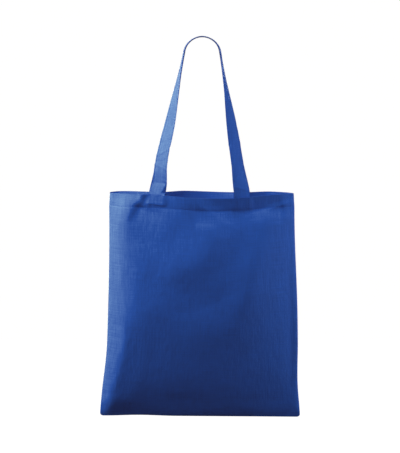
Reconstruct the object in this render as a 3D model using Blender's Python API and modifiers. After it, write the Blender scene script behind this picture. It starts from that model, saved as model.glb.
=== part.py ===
"""A plain cotton shopping bag, hanging by its two long handles.

The body is one length of cloth: folded along its right side, sewn along its left side and
its bottom, with a hem turned in at the mouth. Each handle is a strap of folded cloth whose
ends are stitched inside the hem.

Sizes are in metres. +X is to the right, -Y is to the front and +Z is up. The origin is the
hang point, the middle of the underside of the handles where they loop over what holds them.
"""

import math

import bmesh
import bpy
from mathutils import Vector

# The cloth
CLOTH = 0.0004  # one layer of the plain weave
HEM_LAYERS = 3  # the hem is turned in twice
SEAM_LAYERS = 3  # the seam allowances are turned in too

# The body, laid flat
BODY_WIDTH = 0.380
BODY_HEIGHT = 0.427
HEM_HEIGHT = 0.026
SEAM_ALLOWANCE = 0.011

# The body as it hangs
MOUTH_DROP = 0.2887  # from the hang point down to the mouth's left corner
HANG_TILT = 0.0025  # how much lower the right side hangs than the left
BODY_SHIFT = -0.0007  # from the hang point sideways to the middle of the mouth
BOTTOM_LEAN = -0.0034  # from there sideways to the middle of the bottom
BODY_SWAY = 0.0019  # the middle of the body sways this far to the right on its way down
SWAY_AT = 0.210  # how far down that is furthest
SWAY_REACH = 0.200
LEAN_START = 0.282  # how far down the body starts to lean
LEAN_REACH = 0.100
MOUTH_DEPTH = 0.0403  # half the opening, front to back
HEM_DEPTH = 0.0368  # the same where the hem ends, because its rim leans out
BELLY_DEPTH = 0.0392  # the same where the body is fullest
BELLY_DROP = 0.188  # from the mouth down to there
BELLY_ROUNDNESS = 3.5  # 2 is a parabola down to the bottom edge, and more is fuller
EDGE_GAP = 0.0003  # half the gap between the layers of the side and bottom edges
MOUTH_GATHER = 0.0146  # width that the folds below the mouth take up
GATHER_REACH = 0.300
FRONT_SAG = 0.0062  # how far the mouth's front edge droops below its corners
FRONT_SAG_AT = 0.030
BACK_SAG = 0.0022
BACK_SAG_AT = 0.0
SAG_REACH = 0.125
BACK_DENT = 0.024  # how far the back panel leans in at its left handle
BACK_DENT_ASIDE = 0.004  # from the middle of that handle's end, towards the right
BACK_DENT_WIDTH = 0.085
BACK_DENT_REACH = 0.130
FOLD_FADE = 0.4  # the share of the body's fullness under which folds fade to the edges

# The long ridge that bounds the front panel's left strip
RIDGE_RISE = 0.0035
RIDGE_TOP_IN = 0.090  # from the left edge of the flat body to the ridge, at the mouth
RIDGE_MIDDLE_IN = 0.054
RIDGE_BOTTOM_IN = 0.014
RIDGE_WIDTH = 0.020

# The pull fold that runs down from the front left handle
PULL_DEPTH = 0.0035
PULL_ASIDE = 0.016  # from the handle's left edge to the fold, at the mouth
PULL_SPREAD = 0.034  # how much further left it ends
PULL_LENGTH = 0.100
PULL_WIDTH = 0.008

# The handles
HANDLE_WIDTH = 0.030
HANDLE_LAYERS = 4  # the strap is folded to this many layers of cloth
HANDLE_SPACING = 0.1593  # between the middles of a handle's two ends, at the mouth
HANDLES_AT = -0.0053  # from the hang point sideways to midway between those ends
HANDLE_END_SHORT = 0.002  # from each end up to the hem's lower edge
LOOP_RADIUS = 0.033  # the bend over what holds the bag, at the strap's underside
LOOP_GAP = 0.0010  # between the two handles, side by side at the top
SEWN_CLEARANCE = 0.0005  # between a handle's end and the hem
QUICK_TURN = 0.50  # the share of the strap's quarter turn that it makes low down
QUICK_TURN_REACH = 0.35  # how far up the arm that goes on, as a share of the arm
SLOW_TURN_START = 0.33  # where the rest of the turn starts and ends
SLOW_TURN_END = 0.97
LEFT_ARM_BOW = 0.0026  # how far the left arm bows outwards
ARM_BOW_AT = 0.27  # how far up the arm, as a share of the arm
ARM_BOW_SPREAD = 0.27
BOW_REACH = 0.25  # how far up the arm the strap keeps its panel's curve

# How finely the shapes are cut
BODY_COLUMNS = 28
EDGE_TURN = 0.105  # how far round, of a panel's half, its first column reaches
HEM_ROWS = 3
PANEL_ROWS = 20
HANDLE_COLUMNS = 4
ARM_STEPS = 16
LOOP_STEPS = 14
END_STEPS = 4

FRONT = -1
BACK = 1
LEFT = -1
RIGHT = 1
QUARTER = math.pi / 2

HEM_THICKNESS = HEM_LAYERS * CLOTH
MOST_LAYERS = max(HEM_LAYERS, SEAM_LAYERS)
EDGE_DEPTH = MOST_LAYERS * CLOTH + EDGE_GAP  # half the thickness of the side and bottom edges
HANDLE_THICKNESS = HANDLE_LAYERS * CLOTH
HANDLE_END = HEM_HEIGHT - HANDLE_END_SHORT
LEFT_END_AT = HANDLES_AT - HANDLE_SPACING / 2 - BODY_SHIFT  # from the middle of the mouth
SEAM_TOP = BODY_HEIGHT - SEAM_ALLOWANCE


def clamp(value, low=0.0, high=1.0):
    return min(max(value, low), high)


def ease(value):
    """Goes smoothly from 0 to 1."""
    value = clamp(value)
    return value * value * (3 - 2 * value)


def bell(distance, reach):
    """A smooth bump, 1 at distance 0 and 0 from the reach outwards."""
    return math.cos(QUARTER * clamp(abs(distance) / reach)) ** 2


def ridge(distance, width):
    """A bump like a fold in cloth: a narrow crest between long slopes."""
    return 1 / math.cosh(distance / width) ** 2


def belly(down):
    """Half the body's depth at its middle, at a flat distance down from the mouth."""
    if down <= HEM_HEIGHT:
        return MOUTH_DEPTH + (HEM_DEPTH - MOUTH_DEPTH) * down / HEM_HEIGHT
    if down <= BELLY_DROP:
        part = (down - HEM_HEIGHT) / (BELLY_DROP - HEM_HEIGHT)
        return HEM_DEPTH + (BELLY_DEPTH - HEM_DEPTH) * math.sin(QUARTER * part)
    part = clamp((down - BELLY_DROP) / (SEAM_TOP - BELLY_DROP))
    return EDGE_DEPTH + (BELLY_DEPTH - EDGE_DEPTH) * (1 - part**BELLY_ROUNDNESS)


def half_width(down):
    """Half the body's width: that of an ellipse which the panel's own width goes halfway round."""
    cloth = BODY_WIDTH - MOUTH_GATHER * bell(down, GATHER_REACH)
    half = cloth / 2
    for _ in range(6):
        flatness = belly(down) / half
        half = cloth / (2 + (math.log(4 / flatness) - 0.5) * flatness**2)
    return half


def middle(down):
    """Where the middle of the body lies, at a flat distance down from the mouth."""
    sway = BODY_SWAY * bell(down - SWAY_AT, SWAY_REACH)
    return BODY_SHIFT + sway + BOTTOM_LEAN * ease((down - LEAN_START) / LEAN_REACH)


def rim_sag(side, across):
    """How far the mouth's edge droops below its corners."""
    if side == FRONT:
        return FRONT_SAG * bell(across - FRONT_SAG_AT, SAG_REACH)
    return BACK_SAG * bell(across - BACK_SAG_AT, SAG_REACH)


def folds(side, across, down):
    """How far the folds push the cloth outwards."""
    if side == BACK:
        dent = bell(across - LEFT_END_AT - BACK_DENT_ASIDE, BACK_DENT_WIDTH)
        return -BACK_DENT * dent * bell(down, BACK_DENT_REACH)
    part = clamp(down / SEAM_TOP)
    bend = 2 * part * (1 - part)
    ridge_in = (RIDGE_TOP_IN * (1 - part) ** 2 + RIDGE_MIDDLE_IN * bend + RIDGE_BOTTOM_IN * part**2)
    rise = RIDGE_RISE * bell(2 * part - 1, 1)
    push = rise * ridge(across + BODY_WIDTH / 2 - ridge_in, RIDGE_WIDTH)
    part = clamp(down / PULL_LENGTH)
    pull_at = LEFT_END_AT - HANDLE_WIDTH / 2 - PULL_ASIDE - PULL_SPREAD * part
    pull = PULL_DEPTH * math.sin(math.pi * math.sqrt(part))
    return push - pull * ridge(across - pull_at, PULL_WIDTH)


def panel_point(side, turn, down):
    """A point on the body's outside. turn goes round a panel from -1, left, to 1, right."""
    angle = QUARTER * turn
    across = half_width(down) * math.sin(angle)
    fullness = math.cos(angle)
    depth = EDGE_DEPTH + (belly(down) - EDGE_DEPTH) * fullness
    depth += folds(side, across, down) * ease(fullness / FOLD_FADE)
    sag = rim_sag(side, across) * (1 - down / BODY_HEIGHT)
    tilt = HANG_TILT * (0.5 + across / BODY_WIDTH)
    return Vector((middle(down) + across, side * depth, -MOUTH_DROP - down - sag - tilt))


def panel_at(side, x, down):
    """The point on a panel's outside at this X, and the direction into the bag there."""
    def spot(x_now, down_now):
        sine = (x_now - middle(down_now)) / half_width(down_now)
        return panel_point(side, math.asin(clamp(sine, -1, 1)) / QUARTER, down_now)

    step = 0.001
    along = spot(x + step, down) - spot(x - step, down)
    slope = spot(x, down + step) - spot(x, down - step)
    inward = along.cross(slope) * -side
    return spot(x, down), inward.normalized()


def layers_at(turn, down):
    """How many layers of cloth lie together at a place on the body."""
    if down <= HEM_HEIGHT:
        return HEM_LAYERS
    from_left_seam = half_width(down) * (1 + math.sin(QUARTER * turn))
    if down >= SEAM_TOP or from_left_seam < SEAM_ALLOWANCE:
        return SEAM_LAYERS
    return 1


def body_turns():
    """How far round a panel each column of points lies, from -1 at its left edge to 1."""
    inner = BODY_COLUMNS - 2
    start = 1 - EDGE_TURN
    return [-1.0, *(start * (2 * column / inner - 1) for column in range(inner + 1)), 1.0]


def body_rows():
    """Flat distances down from the mouth, one for each row of points."""
    step = CLOTH * 2
    start = HEM_HEIGHT + step
    end = SEAM_TOP - step
    hem = [HEM_HEIGHT * row / HEM_ROWS for row in range(HEM_ROWS + 1)]
    panel = [start + (end - start) * row / PANEL_ROWS for row in range(PANEL_ROWS + 1)]
    return hem + panel + [SEAM_TOP, BODY_HEIGHT]


def plain_material(name, colour):
    material = bpy.data.materials.new(name)
    material.use_nodes = True
    shader = material.node_tree.nodes["Principled BSDF"]
    shader.inputs["Base Color"].default_value = (*colour, 1)
    shader.inputs["Roughness"].default_value = 0.9
    shader.inputs["Metallic"].default_value = 0
    return material


def add_object(name, bm, collection, material):
    mesh = bpy.data.meshes.new(name)
    bm.to_mesh(mesh)
    bm.free()
    mesh.materials.append(material)
    thing = bpy.data.objects.new(name, mesh)
    collection.objects.link(thing)
    mesh.shade_smooth()
    mesh.set_sharp_from_angle(angle=math.radians(40))
    return thing


def build_body(collection, material):
    """One skin, lofted ring by ring from the mouth to the bottom edge, then given its layers."""
    bm = bmesh.new()
    weights = bm.verts.layers.deform.new()
    turns = body_turns()
    places = [(FRONT, turn) for turn in turns] + [(BACK, turn) for turn in reversed(turns)]
    rings = []
    for down in body_rows():
        ring = []
        for side, turn in places:
            vert = bm.verts.new(panel_point(side, turn, down))
            vert[weights][0] = layers_at(turn, down) / MOST_LAYERS
            ring.append(vert)
        rings.append(ring)
    for upper, lower in zip(rings, rings[1:]):
        for here, after in zip(range(len(places)), [*range(1, len(places)), 0]):
            bm.faces.new((upper[here], lower[here], lower[after], upper[after]))
    bottom = rings[-1]
    for column in range(BODY_COLUMNS):
        opposite = len(places) - 1 - column
        bm.faces.new((bottom[column], bottom[opposite], bottom[opposite - 1], bottom[column + 1]))
    body = add_object("bag_body", bm, collection, material)
    group = body.vertex_groups.new(name="layers")
    solidify = body.modifiers.new("cloth", "SOLIDIFY")
    solidify.thickness = MOST_LAYERS * CLOTH
    solidify.offset = -1
    solidify.use_even_offset = True
    solidify.vertex_group = group.name
    return body


def sewn_section(side, end, down):
    """The strap inside the hem: its centre, its width direction and how it bows with the panel."""
    inside = HEM_THICKNESS + SEWN_CLEARANCE + HANDLE_THICKNESS / 2
    middle_x = HANDLES_AT + end * HANDLE_SPACING / 2
    spots = []
    for x in (middle_x - HANDLE_WIDTH / 2, middle_x, middle_x + HANDLE_WIDTH / 2):
        point, inward = panel_at(side, x, down)
        spots.append(point + inward * inside)
    left, centre, right = spots
    chord_centre = (left + right) / 2
    return chord_centre, (right - left).normalized(), centre - chord_centre


def loop_point(side, angle):
    """A point in the middle of the strap where it loops over, 0 to the right and 90 degrees up."""
    radius = LOOP_RADIUS + HANDLE_THICKNESS / 2
    sideways = side * (LOOP_GAP + HANDLE_WIDTH) / 2
    return Vector((radius * math.cos(angle), sideways, radius * math.sin(angle) - LOOP_RADIUS))


def loop_angle(rim):
    """How far round the loop a straight arm from this point at the mouth meets it."""
    radius = LOOP_RADIUS + HANDLE_THICKNESS / 2
    across = abs(rim.x)
    up = rim.z + LOOP_RADIUS
    return math.atan2(up, across) + math.acos(radius / math.hypot(across, up))


def twist(part):
    """The share of its turn that the strap has made from the mouth, 0, to the loop, 1."""
    quick = 1 - (1 - clamp(part / QUICK_TURN_REACH)) ** 2
    slow = ease((part - SLOW_TURN_START) / (SLOW_TURN_END - SLOW_TURN_START))
    return QUICK_TURN * quick + (1 - QUICK_TURN) * slow


def arm_sections(side, end):
    """The strap's sections up one arm, from its sewn end to its loop, and the loop's angle there."""
    sections = []
    for step in range(END_STEPS):
        sections.append(sewn_section(side, end, HANDLE_END * (1 - step / END_STEPS)))
    rim, rim_width, rim_bow = sewn_section(side, end, 0.0)
    angle = loop_angle(rim)
    top = loop_point(side, angle)
    top.x *= end
    start = math.atan2(-side * end * rim_width.y, rim_width.x)
    for step in range(ARM_STEPS + 1):
        part = step / ARM_STEPS
        turned = start + (QUARTER - start) * twist(part)
        width = Vector((math.cos(turned), -side * end * math.sin(turned), 0))
        bow = rim_bow * (1 - ease(part / BOW_REACH))
        centre = rim.lerp(top, part)
        if end == LEFT:
            centre.x -= LEFT_ARM_BOW * bell(part - ARM_BOW_AT, ARM_BOW_SPREAD)
        sections.append((centre, width, bow))
    return sections, angle


def handle_sections(side):
    """Every section of a handle, from its left end over the loop to its right end."""
    left, left_angle = arm_sections(side, LEFT)
    right, right_angle = arm_sections(side, RIGHT)
    loop = []
    start = math.pi - left_angle
    for step in range(1, LOOP_STEPS):
        centre = loop_point(side, start + (right_angle - start) * step / LOOP_STEPS)
        loop.append((centre, Vector((0, side, 0)), Vector()))
    turned_right = [(centre, -width, bow) for centre, width, bow in reversed(right)]
    return left + loop + turned_right


def build_handle(name, side, collection, material):
    """A flat strap, lofted through its sections."""
    sections = handle_sections(side)
    centres = [section[0] for section in sections]
    bm = bmesh.new()
    rings = []
    for index, (centre, width, bow) in enumerate(sections):
        before = centres[max(index - 1, 0)]
        after = centres[min(index + 1, len(centres) - 1)]
        along = (after - before).normalized()
        width = (width - along * width.dot(along)).normalized()
        normal = width.cross(along)
        ring = []
        for face in (1, -1):
            for column in range(HANDLE_COLUMNS + 1):
                place = face * (2 * column / HANDLE_COLUMNS - 1)
                point = centre + width * (place * HANDLE_WIDTH / 2) + bow * (1 - place**2)
                ring.append(bm.verts.new(point + normal * (face * HANDLE_THICKNESS / 2)))
        rings.append(ring)
    count = len(rings[0])
    for lower, upper in zip(rings, rings[1:]):
        for here in range(count):
            after = (here + 1) % count
            bm.faces.new((lower[here], upper[here], upper[after], lower[after]))
    for column in range(HANDLE_COLUMNS):
        opposite = count - 1 - column
        for ring in (rings[0], rings[-1]):
            bm.faces.new((ring[column], ring[column + 1], ring[opposite - 1], ring[opposite]))
    bmesh.ops.recalc_face_normals(bm, faces=bm.faces)
    return add_object(name, bm, collection, material)


def main():
    for thing in list(bpy.data.objects):
        bpy.data.objects.remove(thing, do_unlink=True)
    collection = bpy.data.collections.new("cotton_shopping_bag")
    bpy.context.scene.collection.children.link(collection)
    build_body(collection, plain_material("body_cotton", (0.022, 0.075, 0.30)))
    build_handle("handle_front", FRONT, collection, plain_material("front_strap", (0.03, 0.09, 0.33)))
    build_handle("handle_back", BACK, collection, plain_material("back_strap", (0.02, 0.07, 0.28)))


main()
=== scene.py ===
"""The looks of a plain royal blue cotton shopping bag that hangs by its two long handles.

Sizes are in metres and tilts in degrees, in the part's own frame: +X right, -Y front, +Z up, with
the origin at the hang point. Across is measured from the body's middle, down from its mouth.
"""

import math
from typing import NamedTuple

import bpy
import numpy as np
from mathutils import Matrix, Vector

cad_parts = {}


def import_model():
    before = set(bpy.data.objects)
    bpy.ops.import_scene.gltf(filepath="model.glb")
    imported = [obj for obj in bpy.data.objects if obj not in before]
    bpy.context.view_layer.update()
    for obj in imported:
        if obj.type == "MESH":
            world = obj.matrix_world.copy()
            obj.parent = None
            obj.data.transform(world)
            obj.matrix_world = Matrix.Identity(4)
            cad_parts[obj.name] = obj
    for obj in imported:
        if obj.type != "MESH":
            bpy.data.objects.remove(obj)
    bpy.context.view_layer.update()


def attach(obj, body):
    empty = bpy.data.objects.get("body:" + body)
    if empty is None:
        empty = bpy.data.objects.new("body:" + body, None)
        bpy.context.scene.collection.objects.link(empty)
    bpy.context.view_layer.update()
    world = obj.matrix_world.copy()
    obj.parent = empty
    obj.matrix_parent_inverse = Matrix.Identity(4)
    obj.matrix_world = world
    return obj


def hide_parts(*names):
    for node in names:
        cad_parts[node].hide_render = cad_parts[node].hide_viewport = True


FRONT = -1
BACK = 1
LEFT = -1
RIGHT = 1

# The cloth
CLOTH = 0.0004
HEM_LAYERS = 3
SEAM_LAYERS = 3
YARN = 0.00046  # between neighbouring yarns of the plain weave

# The body, laid flat
BODY_WIDTH = 0.380
BODY_HEIGHT = 0.427
HEM_HEIGHT = 0.026
SEAM_ALLOWANCE = 0.011

# The body as it hangs
MOUTH_DROP = 0.2887
HANG_TILT = 0.0025
BODY_SHIFT = -0.0007
BOTTOM_LEAN = -0.0034
BODY_SWAY = 0.0019
SWAY_AT = 0.210
SWAY_REACH = 0.200
LEAN_START = 0.282
LEAN_REACH = 0.100
MOUTH_DEPTH = 0.0403
HEM_DEPTH = 0.0368
BELLY_DEPTH = 0.0392
BELLY_DROP = 0.188
BELLY_ROUNDNESS = 3.5
EDGE_GAP = 0.0003
MOUTH_GATHER = 0.0146
GATHER_REACH = 0.300
FRONT_SAG = 0.0062
FRONT_SAG_AT = 0.030
BACK_SAG = 0.0014
BACK_SAG_AT = 0.0
SAG_REACH = 0.125
BACK_DENT = 0.024
BACK_DENT_ASIDE = 0.004
BACK_DENT_LEFT = 0.085
BACK_DENT_RIGHT = 0.050
BACK_DENT_REACH = 0.130
BACK_DRAW = 0.021
BACK_DRAW_LEFT = 0.115
BACK_DRAW_RIGHT = 0.060
FOLD_FADE = 0.4

# The handles
HANDLE_WIDTH = 0.030
HANDLE_LAYERS = 4
HANDLE_SPACING = 0.1593
HANDLES_AT = -0.0053
HANDLE_END_SHORT = 0.002
LOOP_RADIUS = 0.033
LOOP_GAP = 0.0010
SEWN_CLEARANCE = 0.0005
STITCH_PLACE = 0.83
STITCH_PRESS = 0.25
STITCH_PRESS_WIDTH = 0.05
STRAP_EDGE = 0.12
STRAP_ROUND_FROM = 0.78
QUICK_TURN = {LEFT: 0.44, RIGHT: 0.45}
BACK_QUICK_TURN = 0.58
QUICK_TURN_REACH = 0.35
SLOW_TURN_START = 0.33
SLOW_TURN_END = {LEFT: 1.0, RIGHT: 0.96}
LEFT_ARM_BOW = 0.0024
BACK_ARM_BOW = 0.0014
BACK_ARM_BOW_AT = 0.5
BACK_ARM_BOW_SPREAD = 0.5
ARM_BOW_AT = 0.27
ARM_BOW_SPREAD = 0.27
BOW_REACH = 0.25
ARM_CAMBER = {LEFT: -0.0008, RIGHT: 0.0018}
CAMBER_RISE = 0.12
CAMBER_FALL = 0.70
CAMBER_FALL_REACH = 0.2
LOOP_TILT = 4.5

# The front left strap, bent where it leaves the hem: its inner corner is folded back
CORNER_FROM = 0.38
CORNER_FROM_TOP = 0.85
CORNER_TURN = 0.75
CORNER_TOP = 0.070
CORNER_SOFT = 0.025


class StrapCrease(NamedTuple):
    """A crease across a strap: where up the arm, its slant, its height and its width."""
    part: float
    slant: float
    height: float
    width: float


LEFT_STRAP_CREASES = (
    StrapCrease(0.084, 0.004, -0.0009, 0.008),
    StrapCrease(0.084, 0.004, -0.0050, 0.070),
    StrapCrease(0.195, -0.010, 0.0005, 0.008),
    StrapCrease(0.235, 0.012, -0.0004, 0.008),
    StrapCrease(0.300, 0.035, 0.0006, 0.010),
    StrapCrease(0.370, 0.020, -0.0004, 0.012),
)
RIGHT_STRAP_CREASES = (
    StrapCrease(0.060, -0.020, 0.0005, 0.010),
    StrapCrease(0.160, 0.060, -0.0005, 0.012),
    StrapCrease(0.290, 0.080, 0.0005, 0.014),
    StrapCrease(0.430, 0.060, -0.0004, 0.014),
)


class Crease(NamedTuple):
    """A crease of the cloth along a bent path, each point across from the middle and down from the mouth.

    Its crest is rounded. It falls off over these reaches on its left and its right, as on a path that
    runs down, and it fades over this share of its length at both ends.
    """
    start: tuple
    bend: tuple
    end: tuple
    height: float
    crest: float
    left: float
    right: float
    fade: float


# The front panel's creases and slow swells
FRONT_CREASES = (
    # the long ridge that bounds the strip along the left side, the valley beside it and a ridge at its top
    Crease((-0.116, -0.032), (-0.134, 0.324), (-0.197, 0.507), 0.0084, 0.010, 0.031, 0.063, 0.15),
    Crease((-0.113, 0.012), (-0.123, 0.047), (-0.140, 0.273), -0.0052, 0.009, 0.019, 0.062, 0.18),
    Crease((-0.124, -0.016), (-0.168, 0.044), (-0.146, 0.197), 0.0046, 0.020, 0.010, 0.082, 0.35),
    # the ridge that the left strap pulls across the hem, and the crease on its right
    Crease((-0.081, -0.035), (-0.127, 0.008), (-0.152, 0.072), 0.0018, 0.005, 0.034, 0.009, 0.45),
    Crease((-0.069, -0.030), (-0.113, 0.012), (-0.139, 0.070), -0.0010, 0.003, 0.008, 0.010, 0.45),
    # the curved swell under the middle of the mouth, and the one that runs from the mouth down to the left
    Crease((-0.112, 0.151), (0.038, 0.134), (0.023, 0.025), 0.0063, 0.029, 0.033, 0.047, 0.26),
    Crease((-0.009, -0.019), (-0.057, 0.045), (-0.151, 0.268), 0.0061, 0.038, 0.043, 0.157, 0.18),
    # the right side's swell and the hollow beside it
    Crease((0.120, 0.018), (0.139, 0.044), (0.054, 0.296), 0.0107, 0.022, 0.042, 0.103, 0.29),
    Crease((0.161, -0.204), (0.157, 0.261), (0.165, 0.406), -0.0076, 0.060, 0.137, 0.008, 0.42),
    # the swell that runs down to the middle of the bottom, a hollow on its right, one on its left, and a
    # low ridge near the bottom left corner
    Crease((0.129, 0.011), (0.037, 0.186), (-0.010, 0.364), 0.0093, 0.038, 0.127, 0.113, 0.37),
    Crease((-0.025, 0.165), (0.048, 0.337), (0.185, 0.407), -0.0044, 0.052, 0.068, 0.153, 0.15),
    Crease((-0.041, 0.221), (-0.026, 0.361), (-0.017, 0.538), -0.0045, 0.070, 0.234, 0.144, 0.36),
    Crease((-0.135, 0.174), (-0.039, 0.373), (-0.211, 0.466), 0.0025, 0.038, 0.015, 0.076, 0.15),
)
CREASE_STEPS = 8
SEAM_EASE = 0.006
SEAM_EASE_REACH = 0.045

# The hem: its stitch row draws it in, and the cloth below it swells out again
HEM_STITCH_UP = 0.0024
HEM_PRESS = 0.0006
HEM_PRESS_WIDTH = 0.0015
HEM_WAIST = 0.0035
HEM_WAIST_BELOW = 0.034
HEM_WAIST_FROM = -0.026
HEM_WAIST_FROM_SLANT = 0.2
HEM_WAIST_TO = 0.150
HEM_WAIST_TO_SLANT = 0.3
HEM_WAIST_SOFT = 0.012
BACK_WAIST = 0.0085
LEFT_LEAN = 0.0038
LEFT_LEAN_TO = -0.110
RIM_ROUND = 0.0006

# The strap ends show through the hem as flat boxes, each leaning its own way
BOX_MARGIN = 0.002
BOX_SOFT = 0.0035
BOX_EDGE_SOFT = 0.0022
LEFT_BOX_END = 0.0175
LEFT_BOX_SLOPE = 0.06
LEFT_BOX_PUSH = 0.0013
LEFT_BOX_TURN = 0.0004
RIGHT_BOX_PUSH = 0.0018
RIGHT_BOX_FALL = 0.5

# The bottom seam hangs in a slow wave, with rounded corners
BOTTOM_RISE = 0.0016
BOTTOM_RISE_AT = -0.118
BOTTOM_RISE_REACH = 0.075
CORNER_RADIUS = 0.006

# Puckers where the left side is sewn
PUCKER_DEPTH = 0.0009
PUCKER_REACH = 0.020
PUCKER_WIDTH = 0.0045
PUCKERS_AT = (0.024, 0.306, 0.352, 0.384, 0.408)

# The sewing thread
THREAD = 0.00042
STITCH_LENGTH = 0.0027
STITCH_SPACING = 0.0033
STITCH_SINK = 0.25
STITCH_TAPER = 0.9
STITCH_DIP = 0.6
STITCH_SIDES = 6
STITCH_STATIONS = 5
STITCH_FROM_SIDE = 0.004
BOX_STITCH_IN = 0.0030
LINE_POINTS = 160
BOX_LINE_POINTS = 12

# The cotton's surface
BLUE = (0.010, 0.100, 0.50)
# the straps' blue is the body's blue made a little darker: painted shade on the straps
SHADED_STRAP_BLUE = (0.009, 0.092, 0.465)
THREAD_BLUE = (0.013, 0.112, 0.51)
YARN_THICK = 0.0011
YARN_RUN = 0.045
STREAK_SHADE = 0.07
PATCH_SIZE = (0.035, 0.050)
PATCH_SHADE = 0.04
WEAVE_CROSSING = 0.5
# WEAVE_SHADE and WEAVE_SHADE_LEAST: painted shade, the colour darker where the weave is low between the yarns
WEAVE_SHADE = 0.36
WEAVE_SHADE_LEAST = 0.90
WEAVE_RELIEF = 0.00006
STREAK_RELIEF = 0.00002
RIB_SIZE = (0.0035, 0.030)
RIB_RELIEF = 0.00007
SMALL_CREASE_SIZE = (0.010, 0.016)
SMALL_CREASE_RELIEF = 0.00016
BODY_CRUMPLE = 1.0
STRAP_CRUMPLE = 0.6
FINE_DETAIL = 3.0
NOISE_STRETCH = 4.0

# Painted shade: the straps' colour is darker on their edges and undersides where they bend over the support
LOOP_SHADE = 0.5
LOOP_SHADE_AT = 0.350
LOOP_SHADE_REACH = 0.075
LOOP_SHADE_SOFT = 0.030
LOOP_SHADE_EDGE = 0.0135
LOOP_SHADE_EDGE_SOFT = 0.003

# The thread's surface
THREAD_PLIES = 2.0
THREAD_TURNS = 12.0
# THREAD_SHADE: painted shade, the thread's colour darker in the grooves between its plies
THREAD_SHADE = 0.15
THREAD_SHADE_MIDDLE = 0.95
THREAD_RELIEF = THREAD / 8

# How finely the shapes are cut
BODY_COLUMNS = 134
LAST_COLUMN_TURN = 0.96
RIM_ROWS = (0, 0.15, 0.5)
HEM_ROWS = 22
PANEL_ROWS = 126
SEAM_ROWS = 10
STRAP_COLUMNS = 20
STRAP_EDGE_PLACES = (1.0, 0.985, 0.95, 0.89)
ARM_STEPS = 220
LOOP_STEPS = 48
END_STEPS = 12
NORMAL_STEP = 0.002
STEEPEST_SINE = 0.999
WIDTH_ROUNDS = 6
SHARP_ANGLE = 50

QUARTER = math.pi / 2

HEM_THICKNESS = HEM_LAYERS * CLOTH
MOST_LAYERS = max(HEM_LAYERS, SEAM_LAYERS)
EDGE_DEPTH = MOST_LAYERS * CLOTH + EDGE_GAP
HANDLE_THICKNESS = HANDLE_LAYERS * CLOTH
HANDLE_END = HEM_HEIGHT - HANDLE_END_SHORT
LEFT_END_AT = HANDLES_AT - HANDLE_SPACING / 2 - BODY_SHIFT
SEAM_TOP = BODY_HEIGHT - SEAM_ALLOWANCE

# The camera: a little above the loop, looking slightly down, as in the photograph
CAMERA_AT = (-0.0041, -2.8, 0.05)
CAMERA_TILT = 6.48
CAMERA_LENS = 119.95
CAMERA_SHIFT = -0.10
CAMERA_FAR = 50

# What the photograph's camera did to its colours
COVER_LEAST = 0.02
WASH_FROM = 0.315
WASH_CURVE = 1.4
WASH_RED = 0.80
WASH_GREEN = 1.05
VEIL_RED = 0.007
VEIL_GREEN = 0.002

# The white floor and background
FLOOR_AT = -1.9
FLOOR_SIZE = 12
FLOOR_COLOUR = (0.9, 0.9, 0.9, 1)
WHITE = (1, 1, 1, 1)

# Soft lights, each with its place, its size across and its power in watts: two behind light the back
LIGHTS_AIM = (0, 0, -0.5)
AMBIENT = 0.03
LIGHTS = {
    "top_left": ((-0.58, -0.70, 0.57), 0.9, 12.5),
    "top_right": ((0.58, -0.70, 0.57), 0.9, 2.2),
    "left": ((-2.3, -0.10, -0.4), 0.8, 30),
    "right": ((2.2, 0.0, -0.4), 0.8, 24),
    "right_low": ((2.2, 0.0, -1.25), 0.8, 5),
    "back_left": ((-1.0, 2.4, 0.4), 0.8, 18),
    "back_right": ((0.8, 2.4, 0.0), 0.8, 14),
}


def clamp(value, low=0.0, high=1.0):
    """The value held between the two limits."""
    return np.clip(value, low, high)


def ease(value):
    """A soft step: 0 up to 0, 1 from 1 on."""
    value = clamp(value)
    return value * value * (3 - 2 * value)


def bell(distance, reach):
    """A soft hump, 1 in its middle and 0 from its reach on."""
    return np.cos(QUARTER * clamp(np.abs(distance) / reach)) ** 2


def ridge(distance, width):
    """A narrow hump with long soft tails."""
    return 1 / np.cosh(distance / width) ** 2


def belly(down):
    """How far a panel's middle stands out, before its folds."""
    hem = MOUTH_DEPTH + (HEM_DEPTH - MOUTH_DEPTH) * down / HEM_HEIGHT
    part = clamp((down - HEM_HEIGHT) / (BELLY_DROP - HEM_HEIGHT))
    upper = HEM_DEPTH + (BELLY_DEPTH - HEM_DEPTH) * np.sin(QUARTER * part)
    part = clamp((down - BELLY_DROP) / (BODY_HEIGHT - BELLY_DROP))
    lower = EDGE_DEPTH + (BELLY_DEPTH - EDGE_DEPTH) * (1 - part**BELLY_ROUNDNESS)
    return np.where(down <= HEM_HEIGHT, hem, np.where(down <= BELLY_DROP, upper, lower))


def half_width(down):
    """Half the body's width: less where it stands out more, because the cloth round it doesn't stretch."""
    cloth = BODY_WIDTH - MOUTH_GATHER * bell(down, GATHER_REACH)
    half = cloth / 2
    for _ in range(WIDTH_ROUNDS):
        flatness = belly(down) / half
        half = cloth / (2 + (np.log(4 / flatness) - 0.5) * flatness**2)
    return half


def middle(down):
    """The X of the body's middle, which sways a little on its way down."""
    sway = BODY_SWAY * bell(down - SWAY_AT, SWAY_REACH)
    return BODY_SHIFT + sway + BOTTOM_LEAN * ease((down - LEAN_START) / LEAN_REACH)


def rim_sag(side, across):
    """How far the rim hangs down between the handles."""
    front = FRONT_SAG * bell(across - FRONT_SAG_AT, SAG_REACH)
    back = BACK_SAG * bell(across - BACK_SAG_AT, SAG_REACH)
    return np.where(side < 0, front, back)


def back_folds(across, down):
    """The back panel pressed in under its left handle, and drawn in a little under its right one."""
    aside = across - LEFT_END_AT - BACK_DENT_ASIDE
    dent = BACK_DENT * bell(aside, np.where(aside < 0, BACK_DENT_LEFT, BACK_DENT_RIGHT))
    aside = across - LEFT_END_AT - HANDLE_SPACING
    draw = BACK_DRAW * bell(aside, np.where(aside < 0, BACK_DRAW_LEFT, BACK_DRAW_RIGHT))
    return -(dent + draw) * bell(down, BACK_DENT_REACH)


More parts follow.
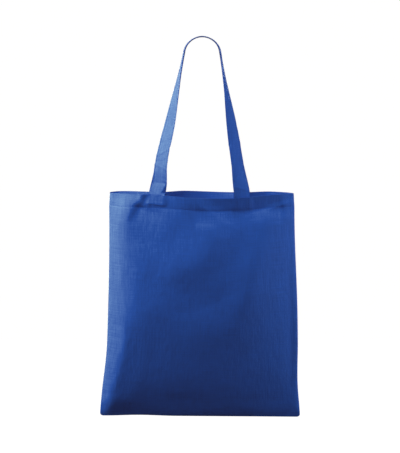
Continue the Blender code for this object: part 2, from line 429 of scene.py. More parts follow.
def front_folds(across, down):
    """The front panel's creases and swells, which end at the bottom seam."""
    form = sum(crease_form(crease, across, down) for crease in FRONT_CREASES)
    return form * ease((BODY_HEIGHT + SEAM_EASE - down) / SEAM_EASE_REACH)


def crease_form(crease, across, down):
    """How far one crease lifts the cloth: a rounded crest along a bent path, falling off to each side."""
    part = np.linspace(0, 1, CREASE_STEPS + 1)[:, None]
    start, bend, end = np.array(crease.start), np.array(crease.bend), np.array(crease.end)
    path = start * (1 - part) ** 2 + bend * 2 * part * (1 - part) + end * part**2
    nearest = np.full(across.shape, np.inf)
    side = np.zeros(across.shape)
    place = np.zeros(across.shape)
    for step in range(CREASE_STEPS):
        run = path[step + 1] - path[step]
        offset_across, offset_down = across - path[step, 0], down - path[step, 1]
        low = -np.inf if step == 0 else 0
        high = np.inf if step == CREASE_STEPS - 1 else 1
        along = np.clip((offset_across * run[0] + offset_down * run[1]) / (run @ run), low, high)
        distance = np.hypot(offset_across - along * run[0], offset_down - along * run[1])
        closer = distance < nearest
        side = np.where(closer, offset_across * run[1] - offset_down * run[0], side)
        place = np.where(closer, (step + along) / CREASE_STEPS, place)
        nearest = np.where(closer, distance, nearest)
    reach = np.where(side < 0, crease.left, crease.right)
    crest = np.hypot(nearest, crease.crest) - crease.crest
    fade = ease(place / crease.fade) * ease((1 - place) / crease.fade)
    return crease.height * clamp(1 - crest / reach) ** 2 * fade


def hem_form(side, across, down):
    """The hem drawn in along its lower edge, and the strap ends' flat boxes under the front one."""
    press = -HEM_PRESS * ridge(down - HEM_HEIGHT + HEM_STITCH_UP, HEM_PRESS_WIDTH)
    in_hem = np.minimum(down, HEM_HEIGHT)
    first = HEM_WAIST_FROM + HEM_WAIST_FROM_SLANT * in_hem
    last = HEM_WAIST_TO + HEM_WAIST_TO_SLANT * in_hem
    open_part = ease((across - first) / HEM_WAIST_SOFT) * ease((last - across) / HEM_WAIST_SOFT)
    waist = np.where(down < HEM_HEIGHT, down / HEM_HEIGHT, ease(1 - (down - HEM_HEIGHT) / HEM_WAIST_BELOW))
    boxes = left_box(across, down) + right_box(across, down)
    lean = LEFT_LEAN * clamp(1 - down / HEM_HEIGHT) * ease((LEFT_LEAN_TO - across) / HEM_WAIST_SOFT)
    return press + np.where(side < 0, boxes - lean - HEM_WAIST * waist * open_part, -BACK_WAIST * waist)


def box_place(end, across):
    """How far across the strap end's box, and a mask that is 1 inside its sides."""
    aside = across - HANDLES_AT + BODY_SHIFT - end * HANDLE_SPACING / 2
    reach = HANDLE_WIDTH / 2 + BOX_MARGIN
    return aside / reach, ease((reach + BOX_SOFT / 2 - np.abs(aside)) / BOX_SOFT)


def left_box(across, down):
    """The left strap's end stands out along its lower edge and on its right."""
    place, inside = box_place(LEFT, across)
    low = LEFT_BOX_END + LEFT_BOX_SLOPE * (across - LEFT_END_AT)
    face = LEFT_BOX_PUSH * clamp(down / low) + LEFT_BOX_TURN * (1 + place)
    return face * inside * ease((low + BOX_EDGE_SOFT - down) / BOX_EDGE_SOFT)


def right_box(across, down):
    """The right strap's end stands out along the rim."""
    _, inside = box_place(RIGHT, across)
    face = RIGHT_BOX_PUSH * (1 - RIGHT_BOX_FALL * clamp(down / HANDLE_END))
    return face * inside * ease((HANDLE_END + BOX_SOFT - down) / BOX_SOFT)


def seam_puckers(down, from_left):
    """Short creases that run in from the sewn left side."""
    near = ease(1 - from_left / PUCKER_REACH)
    form = sum(ridge(down - place, PUCKER_WIDTH) for place in PUCKERS_AT)
    return -PUCKER_DEPTH * form * near


def corner_pull(down):
    """How far the sides draw in round the bottom corners."""
    low = clamp((down - BODY_HEIGHT + CORNER_RADIUS) / CORNER_RADIUS)
    return CORNER_RADIUS * (1 - np.sqrt(1 - low**2))


def bottom_wave(across, down):
    """How far the body's lower half is lifted towards the bottom seam's rise."""
    rise = BOTTOM_RISE * bell(across - BOTTOM_RISE_AT, BOTTOM_RISE_REACH)
    return rise * ease((down - BODY_HEIGHT / 2) / (BODY_HEIGHT / 2))


def panel_points(side, turn, down):
    """Points on the body's outside, for arrays of places: turn goes from -1 to 1 across a panel."""
    angle = QUARTER * turn
    half = half_width(down)
    across = half * np.sin(angle)
    fullness = np.cos(angle)
    depth = EDGE_DEPTH + (belly(down) - EDGE_DEPTH) * fullness
    open_cloth = ease(fullness / FOLD_FADE)
    folds = np.where(side < 0, front_folds(across, down), back_folds(across, down))
    depth = depth + folds * open_cloth
    depth = depth + hem_form(side, across, down) * open_cloth
    depth = depth + seam_puckers(down, half + across) * open_cloth
    sag = rim_sag(side, across) * (1 - down / BODY_HEIGHT)
    tilt = HANG_TILT * (0.5 + across / BODY_WIDTH)
    shown = across * (1 - corner_pull(down) / half)
    height = -MOUTH_DROP - down - sag - tilt + bottom_wave(across, down)
    return np.stack([middle(down) + shown, side * depth, height], -1)


def unit(vectors):
    """The vectors' directions, each one long."""
    return vectors / np.linalg.norm(vectors, axis=-1, keepdims=True)


def panel_normals(side, turn, down):
    """The outward direction at places on the body."""
    ahead = np.minimum(turn + NORMAL_STEP, 1)
    behind = np.maximum(turn - NORMAL_STEP, -1)
    along = panel_points(side, ahead, down) - panel_points(side, behind, down)
    below = panel_points(side, turn, down + NORMAL_STEP / 4)
    above = panel_points(side, turn, down - NORMAL_STEP / 4)
    slope = below - above
    return unit(np.cross(along, slope) * side[..., None])


def panel_at(side, x, down):
    """A point on a panel's outside at this X, and the direction into the bag there."""
    sides = np.array([float(side)])
    downs = np.array([float(down)])
    sine = (x - middle(downs)) / half_width(downs)
    turn = np.arcsin(clamp(sine, -STEEPEST_SINE, STEEPEST_SINE)) / QUARTER
    return panel_points(sides, turn, downs)[0], -panel_normals(sides, turn, downs)[0]


def layers_at(turn, down):
    """How many layers of cloth lie on each other at places on the body."""
    from_left_seam = half_width(down) * (1 + np.sin(QUARTER * turn))
    seam = (down >= SEAM_TOP) | (from_left_seam < SEAM_ALLOWANCE)
    return np.where(down <= HEM_HEIGHT, HEM_LAYERS, np.where(seam, SEAM_LAYERS, 1))


def body_rows():
    """Rows down the body: close together round the rim, the hem's edge and the bottom corners."""
    step = CLOTH * 2
    rim = RIM_ROUND * np.array(RIM_ROWS)
    hem = np.linspace(RIM_ROUND, HEM_HEIGHT, HEM_ROWS + 1)
    panel = np.linspace(HEM_HEIGHT + step, SEAM_TOP - step, PANEL_ROWS + 1)
    seam = np.linspace(SEAM_TOP, BODY_HEIGHT - CORNER_RADIUS, SEAM_ROWS // 2, endpoint=False)
    corner = CORNER_RADIUS * (np.sin(QUARTER * np.arange(SEAM_ROWS + 1) / SEAM_ROWS) - 1)
    return np.concatenate([rim, hem, panel, seam, BODY_HEIGHT + corner])


def body_turns():
    """Columns across a panel, evenly spread but for the last step to each edge."""
    inner = BODY_COLUMNS - 2
    return np.array([-1.0, *(LAST_COLUMN_TURN * (2 * np.arange(inner + 1) / inner - 1)), 1.0])


def lengths(points):
    """How far along a line of points each one lies."""
    steps = np.linalg.norm(np.diff(points, axis=0), axis=1)
    return np.concatenate([[0], np.cumsum(steps)])


def tube_faces(rows, ring):
    """Faces between each ring of points and the next one."""
    row, col = np.meshgrid(np.arange(rows - 1), np.arange(ring), indexing="ij")
    here = row * ring + col
    after = row * ring + (col + 1) % ring
    return np.stack([here, here + ring, after + ring, after], -1).reshape(-1, 4)


def new_object(name, points, faces, uvs, material):
    """A mesh object; uvs gives a pair for each corner of each face."""
    mesh = bpy.data.meshes.new(name)
    mesh.from_pydata(points.tolist(), [], faces.tolist())
    layer = mesh.uv_layers.new(name="cloth")
    layer.data.foreach_set("uv", uvs.reshape(-1).astype(np.float32))
    mesh.materials.append(material)
    thing = bpy.data.objects.new(name, mesh)
    bpy.context.scene.collection.objects.link(thing)
    mesh.shade_smooth()
    mesh.set_sharp_from_angle(angle=math.radians(SHARP_ANGLE))
    return thing


def body_skins(turns, downs):
    """The outer and the inner skin's points, and how far down each lies, round the body row by row."""
    count = len(turns)
    sides = np.concatenate([np.full(count, FRONT), np.full(count, BACK)]).astype(float)
    side = np.broadcast_to(sides, (len(downs), 2 * count))
    turn = np.broadcast_to(np.concatenate([turns, turns[::-1]]), side.shape)
    down = np.broadcast_to(downs[:, None], side.shape)
    outer = panel_points(side, turn, down)
    normal = panel_normals(side, turn, down)
    thickness = layers_at(turn, down) * CLOTH
    # where the panels meet, the cloth turns round the edge
    for column, outwards in ((0, LEFT), (count - 1, RIGHT), (count, RIGHT), (2 * count - 1, LEFT)):
        edge = unit(normal[:, column] + (outwards, 0, 0))
        thickness[:, column] /= edge[:, 0] * outwards
        normal[:, column] = edge
    return outer, outer - normal * thickness[..., None], down


def body_faces(rows, count):
    """The two skins' faces, with those that join them round the mouth and along the bottom."""
    ring = 2 * count
    skin = tube_faces(rows, ring)
    inside = skin[:, ::-1] + rows * ring
    top = np.arange(ring)
    top_after = (top + 1) % ring
    rim = np.stack([top, top_after, top_after + rows * ring, top + rows * ring], -1)
    column = np.arange(count - 1)
    opposite = ring - 1 - column
    strip = np.stack([column, opposite, opposite - 1, column + 1], -1) + (rows - 1) * ring
    strip_inside = strip[:, ::-1] + rows * ring
    return np.concatenate([skin, inside, rim, strip, strip_inside])


def body_uvs(outer, down, faces):
    """Metres round and down the cloth at each corner of each face."""
    rows, ring = down.shape
    girth = lengths(outer[rows // 2])
    grid = np.stack([np.broadcast_to(girth, down.shape), -down], -1).reshape(-1, 2)
    uvs = np.concatenate([grid, grid])[faces.reshape(-1)].reshape(-1, 4, 2)
    column = faces % ring
    wraps = (column.max(1) - column.min(1)) == ring - 1
    total = girth[-1] + EDGE_DEPTH * 2
    uvs[..., 0] = np.where(wraps[:, None] & (column == 0), total, uvs[..., 0])
    return uvs


def build_body(material):
    """One closed shell: an outer and an inner skin, joined round the mouth and along the bottom."""
    turns = body_turns()
    downs = body_rows()
    outer, inner, down = body_skins(turns, downs)
    points = np.concatenate([outer.reshape(-1, 3), inner.reshape(-1, 3)])
    faces = body_faces(len(downs), len(turns))
    return new_object("body_cloth", points, faces, body_uvs(outer, down, faces), material)


def sewn_section(side, end, down):
    """The strap inside the hem: its centre, its width direction and how it bows with the panel."""
    inside = HEM_THICKNESS + SEWN_CLEARANCE + HANDLE_THICKNESS / 2
    middle_x = HANDLES_AT + end * HANDLE_SPACING / 2
    spots = []
    for x in (middle_x - HANDLE_WIDTH / 2, middle_x, middle_x + HANDLE_WIDTH / 2):
        point, inward = panel_at(side, x, down)
        spots.append(point + inward * inside)
    left, centre, right = spots
    chord_centre = (left + right) / 2
    return chord_centre, unit(right - left), centre - chord_centre


def loop_point(side, angle):
    """The middle of the strap over the hang point, at this angle up from the right."""
    radius = LOOP_RADIUS + HANDLE_THICKNESS / 2
    sideways = side * (LOOP_GAP + HANDLE_WIDTH) / 2
    return np.array([radius * math.cos(angle), sideways, radius * math.sin(angle) - LOOP_RADIUS])


def loop_angle(rim):
    """The angle where the straight arm from this rim point meets the loop."""
    radius = LOOP_RADIUS + HANDLE_THICKNESS / 2
    across = abs(rim[0])
    up = rim[2] + LOOP_RADIUS
    return math.atan2(up, across) + math.acos(radius / math.hypot(across, up))


def twist(part, side, end):
    """The share of an arm's turn that is done this far up it."""
    quick_turn = QUICK_TURN[end] if side == FRONT else BACK_QUICK_TURN
    quick = 1 - (1 - clamp(part / QUICK_TURN_REACH)) ** 2
    slow = ease((part - SLOW_TURN_START) / (SLOW_TURN_END[end] - SLOW_TURN_START))
    return quick_turn * quick + (1 - quick_turn) * slow


def arm_form(side, end, part, place):
    """How far the strap's face stands out at places from its left edge, -1, to its right, 1."""
    fall = 1 - ease((part - CAMBER_FALL) / CAMBER_FALL_REACH)
    form = ARM_CAMBER[end] * (1 - place**2) * ease(part / CAMBER_RISE) * fall
    if side == BACK:
        return form
    creases = LEFT_STRAP_CREASES if end == LEFT else RIGHT_STRAP_CREASES
    for crease in creases:
        form = form + crease.height * ridge(part - crease.part - crease.slant * place, crease.width)
    if end == LEFT:
        inner = CORNER_FROM + (CORNER_FROM_TOP - CORNER_FROM) * clamp(part / CORNER_TOP)
        turned = CORNER_TURN * clamp(place - inner) * HANDLE_WIDTH / 2
        form = form - turned * ease(part / CORNER_SOFT) * (1 - ease((part - CORNER_TOP) / CORNER_SOFT))
    return form * ease(part / CORNER_SOFT)


def arm_sections(side, end):
    """The strap's sections up one arm, from its sewn end to its loop, and the loop's angle there."""
    place = strap_places()
    sections = []
    for step in range(END_STEPS):
        centre, width, bow = sewn_section(side, end, HANDLE_END * (1 - step / END_STEPS))
        sections.append((centre, width, bow, np.zeros(len(place))))
    rim, rim_width, rim_bow = sewn_section(side, end, 0.0)
    angle = loop_angle(rim)
    top = loop_point(side, angle)
    top[0] *= end
    start = math.atan2(-side * end * rim_width[1], rim_width[0])
    full_turn = QUARTER - math.radians(LOOP_TILT) * math.cos(angle) ** 2
    for step in range(ARM_STEPS + 1):
        part = step / ARM_STEPS
        turned = start + (full_turn - start) * twist(part, side, end)
        width = np.array([math.cos(turned), -side * end * math.sin(turned), 0])
        bow = rim_bow * (1 - ease(part / BOW_REACH))
        centre = rim + (top - rim) * part
        if end == LEFT:
            centre[0] -= LEFT_ARM_BOW * bell(part - ARM_BOW_AT, ARM_BOW_SPREAD)
        if side == BACK:
            centre[0] += end * BACK_ARM_BOW * bell(part - BACK_ARM_BOW_AT, BACK_ARM_BOW_SPREAD)
        sections.append((centre, width, bow, arm_form(side, end, part, place)))
    return sections, angle


def loop_section(side, angle):
    """The strap over the hang point, its outer edge tilted towards the middle where it leaves the loop."""
    outwards = np.array([math.cos(angle), 0, math.sin(angle)])
    tilt = math.radians(LOOP_TILT) * math.cos(angle) ** 2
    width = np.array([0.0, side * math.cos(tilt), 0.0]) - outwards * math.sin(tilt)
    return loop_point(side, angle), width, np.zeros(3), np.zeros(len(strap_places()))


def handle_sections(side):
    """A handle's sections, up its left arm, over the loop and down its right arm."""
    left, left_angle = arm_sections(side, LEFT)
    right, right_angle = arm_sections(side, RIGHT)
    start = math.pi - left_angle
    loop = []
    for step in range(1, LOOP_STEPS):
        loop.append(loop_section(side, start + (right_angle - start) * step / LOOP_STEPS))
    turned_right = [(centre, -width, bow, form[::-1]) for centre, width, bow, form in reversed(right)]
    return left + loop + turned_right


def strap_places():
    """Places across a strap's face, from -1 to 1, closer together at its edges and stitches."""
    inner = np.linspace(-STITCH_PLACE, STITCH_PLACE, STRAP_COLUMNS + 1)
    edge = np.array(STRAP_EDGE_PLACES)
    return np.concatenate([-edge, inner, edge[::-1]])


def strap_halves(place):
    """How far the strap's two faces lie from its middle: flat in front, bent forward to thin edges behind."""
    reach = clamp((np.abs(place) - STRAP_ROUND_FROM) / (1 - STRAP_ROUND_FROM))
    rounding = np.sqrt(1 - (1 - STRAP_EDGE**2) * reach**2)
    stitched = ridge(np.abs(place) - STITCH_PLACE, STITCH_PRESS_WIDTH)
    pressed = HANDLE_THICKNESS / 2 * (1 - STITCH_PRESS * stitched)
    return pressed[:, None], (pressed * (2 * rounding - 1))[:, None]


def strap_rings(side):
    """Rings of points round the strap for each of its sections, and each section's place along it."""
    sections = handle_sections(side)
    centres = np.array([section[0] for section in sections])
    before = centres[np.maximum(np.arange(len(centres)) - 1, 0)]
    after = centres[np.minimum(np.arange(len(centres)) + 1, len(centres) - 1)]
    along = unit(after - before)
    width = np.array([section[1] for section in sections])
    width = unit(width - along * (width * along).sum(-1, keepdims=True))
    bow = np.array([section[2] for section in sections])
    form = np.array([section[3] for section in sections])
    normal = np.cross(width, along)
    place = strap_places()
    flat = centres[:, None] + width[:, None] * (place[:, None] * HANDLE_WIDTH / 2)
    flat = flat + bow[:, None] * (1 - place[:, None] ** 2) + normal[:, None] * form[..., None]
    front_half, back_half = strap_halves(place)
    front = flat + normal[:, None] * front_half
    back = (flat - normal[:, None] * back_half)[:, ::-1]
    return np.concatenate([front, back], 1), lengths(centres)


def build_strap(name, side, material):
    """One closed strap, with a face across each end."""
    rings, length = strap_rings(side)
    rows, ring = rings.shape[:2]
    skin = tube_faces(rows, ring)
    column = np.arange(ring // 2 - 1)
    opposite = ring - 1 - column
    cap = np.stack([column, column + 1, opposite - 1, opposite], -1)
    faces = np.concatenate([skin, cap, cap[:, ::-1] + (rows - 1) * ring])
    place = strap_places() * HANDLE_WIDTH / 2
    across = np.concatenate([place, place[::-1] + HANDLE_WIDTH * 2])
    u = np.broadcast_to(across, (rows, ring))
    v = np.broadcast_to(length[:, None], (rows, ring))
    uvs = np.stack([u, v], -1).reshape(-1, 2)[faces.reshape(-1)]
    return new_object(name, rings.reshape(-1, 3), faces, uvs, material)


def build_stitches(name, places, alongs, normals, material):
    """Short lengths of thread that lie on the cloth, their ends pulled down into it."""
    station = np.linspace(-1, 1, STITCH_STATIONS)
    radius = THREAD / 2 * np.sqrt(1 - STITCH_TAPER * station**4)
    height = THREAD * (0.5 - STITCH_SINK - STITCH_DIP * station**4)
    angle = np.arange(STITCH_SIDES) * 2 * math.pi / STITCH_SIDES
    sideways = unit(np.cross(alongs, normals))
    centre = (places[:, None] + alongs[:, None] * (station[:, None] * STITCH_LENGTH / 2)
              + normals[:, None] * height[:, None])
    spoke = sideways[:, None] * np.cos(angle)[:, None] + normals[:, None] * np.sin(angle)[:, None]
    points = centre[:, :, None] + spoke[:, None] * radius[:, None, None]
    skin = tube_faces(STITCH_STATIONS, STITCH_SIDES)
    cap = np.array([[0, 1, 2, 3], [0, 3, 4, 5]])
    last = (STITCH_STATIONS - 1) * STITCH_SIDES
    one = np.concatenate([skin, cap, cap[:, ::-1] + last])
    each = STITCH_STATIONS * STITCH_SIDES
    faces = (one[None] + np.arange(len(places))[:, None, None] * each).reshape(-1, 4)
    around = np.broadcast_to(angle, (len(places), STITCH_STATIONS, STITCH_SIDES))
    down_it = np.broadcast_to(station[None, :, None], around.shape)
    uvs = np.stack([around, down_it], -1).reshape(-1, 2)[faces.reshape(-1)]
    return new_object(name, points.reshape(-1, 3), faces, uvs, material)


def spaced(points, normals):
    """Stitches spread evenly along a line of points: their middles, directions and the way up."""
    length = lengths(points)
    count = max(int((length[-1] - STITCH_LENGTH) / STITCH_SPACING), 1)
    middles = (np.arange(count) + 0.5) * length[-1] / count

    def along(values, at):
        return np.stack([np.interp(at, length, values[:, axis]) for axis in range(3)], -1)

    before = along(points, middles - STITCH_LENGTH / 2)
    after = along(points, middles + STITCH_LENGTH / 2)
    return (before + after) / 2, unit(after - before), unit(along(normals, middles))


def on_panel(side, across, down, inside=False):
    """Points and outward directions on one face of a panel, for a line of places."""
    across, down = np.broadcast_arrays(np.asarray(across, float), np.asarray(down, float))
    sides = np.full(across.shape, float(side))
    turn = np.arcsin(across / half_width(down)) / QUARTER
    points = panel_points(sides, turn, down)
    normals = panel_normals(sides, turn, down)
    if inside:
        return points - normals * HEM_THICKNESS, -normals
    return points, normals


def hem_stitch_lines():
    """The row along the hem's lower edge, seen from outside and inside the bag."""
    down = HEM_HEIGHT - HEM_STITCH_UP
    reach = half_width(np.array(down)) - STITCH_FROM_SIDE
    across = np.linspace(-reach, reach, LINE_POINTS)
    return [on_panel(side, across, down, inside) for side in (FRONT, BACK) for inside in (False, True)]


def box_stitch_lines():
    """The box that sews each strap end into the hem, seen from outside the bag."""
    lines = []
    half = HANDLE_WIDTH / 2 - BOX_STITCH_IN
    top = BOX_STITCH_IN
    low = HANDLE_END - BOX_STITCH_IN
    part = np.linspace(0, 1, BOX_LINE_POINTS)
    for side in (FRONT, BACK):
        for end in (LEFT, RIGHT):
            middle_at = HANDLES_AT - BODY_SHIFT + end * HANDLE_SPACING / 2
            lines.append(on_panel(side, middle_at + half * (2 * part - 1), top))
            lines.append(on_panel(side, middle_at + half * (2 * part - 1), low))
            for edge in (-half, half):
                lines.append(on_panel(side, middle_at + edge, top + (low - top) * part))
    return lines


def strap_stitch_lines(side):
    """Rows along both edges of a strap, on both of its faces."""
    rings, _ = strap_rings(side)
    count = rings.shape[1] // 2
    left = len(STRAP_EDGE_PLACES)
    lines = []
    for column in (left, count - 1 - left):
        opposite = 2 * count - 1 - column
        outwards = unit(rings[:, column] - rings[:, opposite])
        lines.append((rings[:, column], outwards))
        lines.append((rings[:, opposite], -outwards))
    return lines


def sew(name, lines, material):
    """All the stitches of some lines, as one piece."""
    stitches = [spaced(points, normals) for points, normals in lines]
    return build_stitches(name, *(np.concatenate(values) for values in zip(*stitches)), material)


def node(tree, kind, **settings):
    """A new node with these settings."""
    made = tree.nodes.new(kind)
    for key, value in settings.items():
        setattr(made, key, value)
    return made


def calc(tree, operation, *values):
    """A Math node's result; each value is a number or another node's output."""
    kind = "CompositorNodeMath" if tree.bl_idname == "CompositorNodeTree" else "ShaderNodeMath"
    made = node(tree, kind, operation=operation)
    for socket, value in zip(made.inputs, values):
        if isinstance(value, (int, float)):
            socket.default_value = value
        else:
            tree.links.new(value, socket)
    return made.outputs[0]


def cloth_place(tree):
    """Metres across and along the cloth."""
    split = node(tree, "ShaderNodeSeparateXYZ")
    tree.links.new(node(tree, "ShaderNodeUVMap", uv_map="cloth").outputs["UV"], split.inputs[0])
    return split.outputs["X"], split.outputs["Y"]


def unevenness(tree, u, v, size_u, size_v, detail=2.0):
    """Smooth random variation of the cloth with grains of this size, from about -1 to 1."""
    place = node(tree, "ShaderNodeCombineXYZ")
    tree.links.new(calc(tree, "DIVIDE", u, size_u), place.inputs["X"])
    tree.links.new(calc(tree, "DIVIDE", v, size_v), place.inputs["Y"])
    noise = node(tree, "ShaderNodeTexNoise", noise_dimensions="2D")
    noise.inputs["Scale"].default_value = 1
    noise.inputs["Detail"].default_value = detail
    tree.links.new(place.outputs["Vector"], noise.inputs["Vector"])
    return calc(tree, "MULTIPLY_ADD", noise.outputs[0], NOISE_STRETCH, -NOISE_STRETCH / 2)


def weave(tree, u, v):
    """Height of a plain weave from 0 to 1, where each yarn passes over and under the next."""
    warp = calc(tree, "SINE", calc(tree, "MULTIPLY", u, math.pi / YARN))
    weft = calc(tree, "SINE", calc(tree, "MULTIPLY", v, math.pi / YARN))
    crossing = calc(tree, "MULTIPLY", warp, weft)
    rounded = calc(tree, "MULTIPLY", calc(tree, "ABSOLUTE", warp), calc(tree, "ABSOLUTE", weft))
    raised = calc(tree, "MULTIPLY_ADD", crossing, WEAVE_CROSSING / 2, WEAVE_CROSSING / 2)
    return calc(tree, "MULTIPLY_ADD", rounded, 1 - WEAVE_CROSSING, raised)


def rising(tree, value, start, stop):
    """A soft step, 0 at start and 1 at stop."""
    made = node(tree, "ShaderNodeMapRange", interpolation_type="SMOOTHSTEP")
    made.inputs["From Min"].default_value = start
    made.inputs["From Max"].default_value = stop
    tree.links.new(value, made.inputs["Value"])
    return made.outputs["Result"]


def painted_loop_shade(tree, u, v):
    """Painted shade: a strap's colour is darker on its edges and underside where it bends over its support.
    """
    along = calc(tree, "ABSOLUTE", calc(tree, "SUBTRACT", v, LOOP_SHADE_AT))
    across = calc(tree, "ABSOLUTE", u)
    near = rising(tree, along, LOOP_SHADE_REACH, LOOP_SHADE_REACH - LOOP_SHADE_SOFT)
    edge = rising(tree, across, LOOP_SHADE_EDGE - LOOP_SHADE_EDGE_SOFT, LOOP_SHADE_EDGE)
    return calc(tree, "MULTIPLY_ADD", calc(tree, "MULTIPLY", near, edge), -LOOP_SHADE, 1.0)


def new_material(name):
    """A material, its node tree and its shader."""
    material = bpy.data.materials.new(name)
    material.use_nodes = True
    tree = material.node_tree
    return material, tree, tree.nodes["Principled BSDF"]


def set_colour(tree, shader, colour, shade):
    """Gives the shader this colour, lighter or darker by the shade."""
    tint = node(tree, "ShaderNodeVectorMath", operation="SCALE")
    tint.inputs[0].default_value = colour
    tree.links.new(shade, tint.inputs["Scale"])
    tree.links.new(tint.outputs[0], shader.inputs["Base Color"])


def set_relief(tree, shader, height, distance):
    """Gives the shader a fine relief: the height, times the distance in metres."""
    bump = node(tree, "ShaderNodeBump")
    bump.inputs["Distance"].default_value = distance
    bump.inputs["Strength"].default_value = 1
    tree.links.new(height, bump.inputs["Height"])
    tree.links.new(bump.outputs["Normal"], shader.inputs["Normal"])


def cotton(name, colour, crumple, shade_painted_at_loop=False):
    """Plain woven cotton: yarns over and under, thick and thin yarns, small creases, soft fuzz; its colour
    carries painted shade between the yarns and, on straps, painted shade near the loop.
    """
    material, tree, shader = new_material(name)
    u, v = cloth_place(tree)
    height = weave(tree, u, v)
    warp = unevenness(tree, u, v, YARN_THICK, YARN_RUN)
    weft = unevenness(tree, u, v, YARN_RUN, YARN_THICK)
    patches = unevenness(tree, u, v, *PATCH_SIZE, detail=FINE_DETAIL)
    uneven = calc(tree, "ADD", warp, weft)

    shade = calc(tree, "MULTIPLY_ADD", uneven, STREAK_SHADE, 1.0)
    shade = calc(tree, "MULTIPLY_ADD", patches, PATCH_SHADE, shade)
    # painted shade: darker where the weave is low, between the yarns
    shade = calc(tree, "MULTIPLY", shade, calc(tree, "MULTIPLY_ADD", height, WEAVE_SHADE, WEAVE_SHADE_LEAST))
    # painted shade on a strap's edges and underside near its loop
    if shade_painted_at_loop:
        shade = calc(tree, "MULTIPLY", shade, painted_loop_shade(tree, u, v))
    set_colour(tree, shader, colour, shade)

    creases = unevenness(tree, u, v, *SMALL_CREASE_SIZE, detail=FINE_DETAIL)
    ribs = unevenness(tree, u, v, *RIB_SIZE)
    relief = calc(tree, "MULTIPLY", height, WEAVE_RELIEF)
    relief = calc(tree, "MULTIPLY_ADD", uneven, STREAK_RELIEF, relief)
    relief = calc(tree, "MULTIPLY_ADD", ribs, RIB_RELIEF * crumple, relief)
    relief = calc(tree, "MULTIPLY_ADD", creases, SMALL_CREASE_RELIEF * crumple, relief)
    set_relief(tree, shader, relief, 1)
    soft_surface(shader)
    return material


def soft_surface(shader):
    """Matt, with a soft sheen of fine fibres."""
    shader.inputs["Roughness"].default_value = 0.85
    shader.inputs["Specular IOR Level"].default_value = 0.25
    shader.inputs["Sheen Weight"].default_value = 0.15
    shader.inputs["Sheen Roughness"].default_value = 0.4
    shader.inputs["Sheen Tint"].default_value = (0.6, 0.75, 1.0, 1)


def thread(name, colour):
    """Sewing thread: two plies twisted round each other, with painted shade in the grooves between them."""
    material, tree, shader = new_material(name)
    u, v = cloth_place(tree)
    plies = calc(tree, "MULTIPLY", u, THREAD_PLIES)
    twisted = calc(tree, "SINE", calc(tree, "MULTIPLY_ADD", v, THREAD_TURNS, plies))
    # painted shade: darker where the twist is low, in the grooves between the plies
    shade = calc(tree, "MULTIPLY_ADD", twisted, THREAD_SHADE, THREAD_SHADE_MIDDLE)
    set_colour(tree, shader, colour, shade)
    set_relief(tree, shader, twisted, THREAD_RELIEF)
    soft_surface(shader)
    return material


def area_light(name, place, target, size, power):
    """A round soft light that the camera doesn't see."""
    data = bpy.data.lights.new(name, "AREA")
    data.shape = "DISK"
    data.size = size
    data.energy = power
    light = bpy.data.objects.new(name, data)
    light.location = place
    light.rotation_euler = (Vector(target) - Vector(place)).to_track_quat("-Z", "Y").to_euler()
    light.visible_camera = False
    bpy.context.scene.collection.objects.link(light)


def camera():
    """The camera, placed and tilted as in the photograph."""
    data = bpy.data.cameras.new("camera")
    data.sensor_fit = "AUTO"
    data.sensor_width = 36
    data.lens = CAMERA_LENS
    data.shift_y = CAMERA_SHIFT
    data.clip_end = CAMERA_FAR
    thing = bpy.data.objects.new("camera", data)
    thing.location = CAMERA_AT
    thing.rotation_euler = (math.radians(90 - CAMERA_TILT), 0, 0)
    bpy.context.scene.collection.objects.link(thing)
    bpy.context.scene.camera = thing


def white_floor():
    """A floor that looks white and throws no light on the bag."""
    half = FLOOR_SIZE / 2
    corners = [(-half, -half, 0), (half, -half, 0), (half, half, 0), (-half, half, 0)]
    mesh = bpy.data.meshes.new("floor")
    mesh.from_pydata(corners, [], [(0, 1, 2, 3)])
    floor = bpy.data.objects.new("floor", mesh)
    floor.location = (0, 0, FLOOR_AT)
    bpy.context.scene.collection.objects.link(floor)
    material, _, shader = new_material("floor")
    shader.inputs["Base Color"].default_value = FLOOR_COLOUR
    shader.inputs["Emission Color"].default_value = WHITE
    shader.inputs["Emission Strength"].default_value = 1.0
    mesh.materials.append(material)
    floor.visible_diffuse = False
    floor.visible_glossy = False


def white_background():
    """White where the camera sees it, and only a faint light on the bag."""
    world = bpy.data.worlds.new("studio")
    world.use_nodes = True
    tree = world.node_tree
    background = tree.nodes["Background"]
    background.inputs["Color"].default_value = WHITE
    path = node(tree, "ShaderNodeLightPath")
    mix = node(tree, "ShaderNodeMix", data_type="FLOAT")
    mix.inputs["A"].default_value = AMBIENT
    mix.inputs["B"].default_value = 1.0
    tree.links.new(path.outputs["Is Camera Ray"], mix.inputs["Factor"])
    tree.links.new(mix.outputs["Result"], background.inputs["Strength"])
    bpy.context.scene.world = world


def lights():
    """The soft lights round the bag."""
    for name, (place, size, power) in LIGHTS.items():
        area_light(name, place, LIGHTS_AIM, size, power)


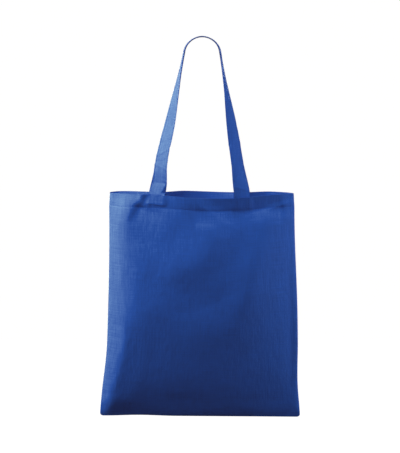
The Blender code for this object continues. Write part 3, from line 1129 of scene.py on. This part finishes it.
def camera_response():
    """The photograph's camera: strong blue washes out towards white, and a faint veil lies on the dark."""
    scene = bpy.context.scene
    scene.view_settings.view_transform = "Standard"
    scene.use_nodes = True
    tree = scene.node_tree
    tree.nodes.clear()
    picture = node(tree, "CompositorNodeRLayers")
    split = node(tree, "CompositorNodeSeparateColor")
    joined = node(tree, "CompositorNodeCombineColor")
    result = node(tree, "CompositorNodeComposite")
    tree.links.new(picture.outputs["Image"], split.inputs[0])
    red, green, blue = split.outputs[:3]
    cover = calc(tree, "MAXIMUM", calc(tree, "SUBTRACT", 1.0, red), COVER_LEAST)
    blueness = calc(tree, "DIVIDE", calc(tree, "SUBTRACT", blue, red), cover)
    strong = calc(tree, "MAXIMUM", calc(tree, "SUBTRACT", blueness, WASH_FROM), 0.0)
    wash = calc(tree, "MULTIPLY", calc(tree, "POWER", strong, WASH_CURVE), cover)
    lifted_channels = ((red, WASH_RED, VEIL_RED), (green, WASH_GREEN, VEIL_GREEN))
    for socket, (channel, amount, veil) in enumerate(lifted_channels):
        lifted = calc(tree, "ADD", calc(tree, "MULTIPLY_ADD", wash, amount, channel), veil)
        tree.links.new(lifted, joined.inputs[socket])
    tree.links.new(blue, joined.inputs[2])
    tree.links.new(split.outputs[3], joined.inputs[3])
    tree.links.new(joined.outputs[0], result.inputs["Image"])


def main():
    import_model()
    thread_material = thread("sewing_thread", THREAD_BLUE)
    body = build_body(cotton("body_cotton", BLUE, BODY_CRUMPLE))
    hem_thread = sew("hem_stitching", hem_stitch_lines(), thread_material)
    box_thread = sew("strap_end_stitching", box_stitch_lines(), thread_material)
    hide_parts("bag_body")
    for piece in (body, hem_thread, box_thread):
        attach(piece, "root")
    # the straps' cotton carries painted shade near the loop
    strap_cotton = cotton("strap_cotton", SHADED_STRAP_BLUE, STRAP_CRUMPLE, shade_painted_at_loop=True)
    for name, side in (("handle_front", FRONT), ("handle_back", BACK)):
        strap = build_strap("strap_" + name, side, strap_cotton)
        strap_thread = sew("stitching_" + name, strap_stitch_lines(side), thread_material)
        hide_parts(name)
        for piece in (strap, strap_thread):
            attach(piece, "root")
    white_floor()
    white_background()
    lights()
    camera()
    camera_response()


main()
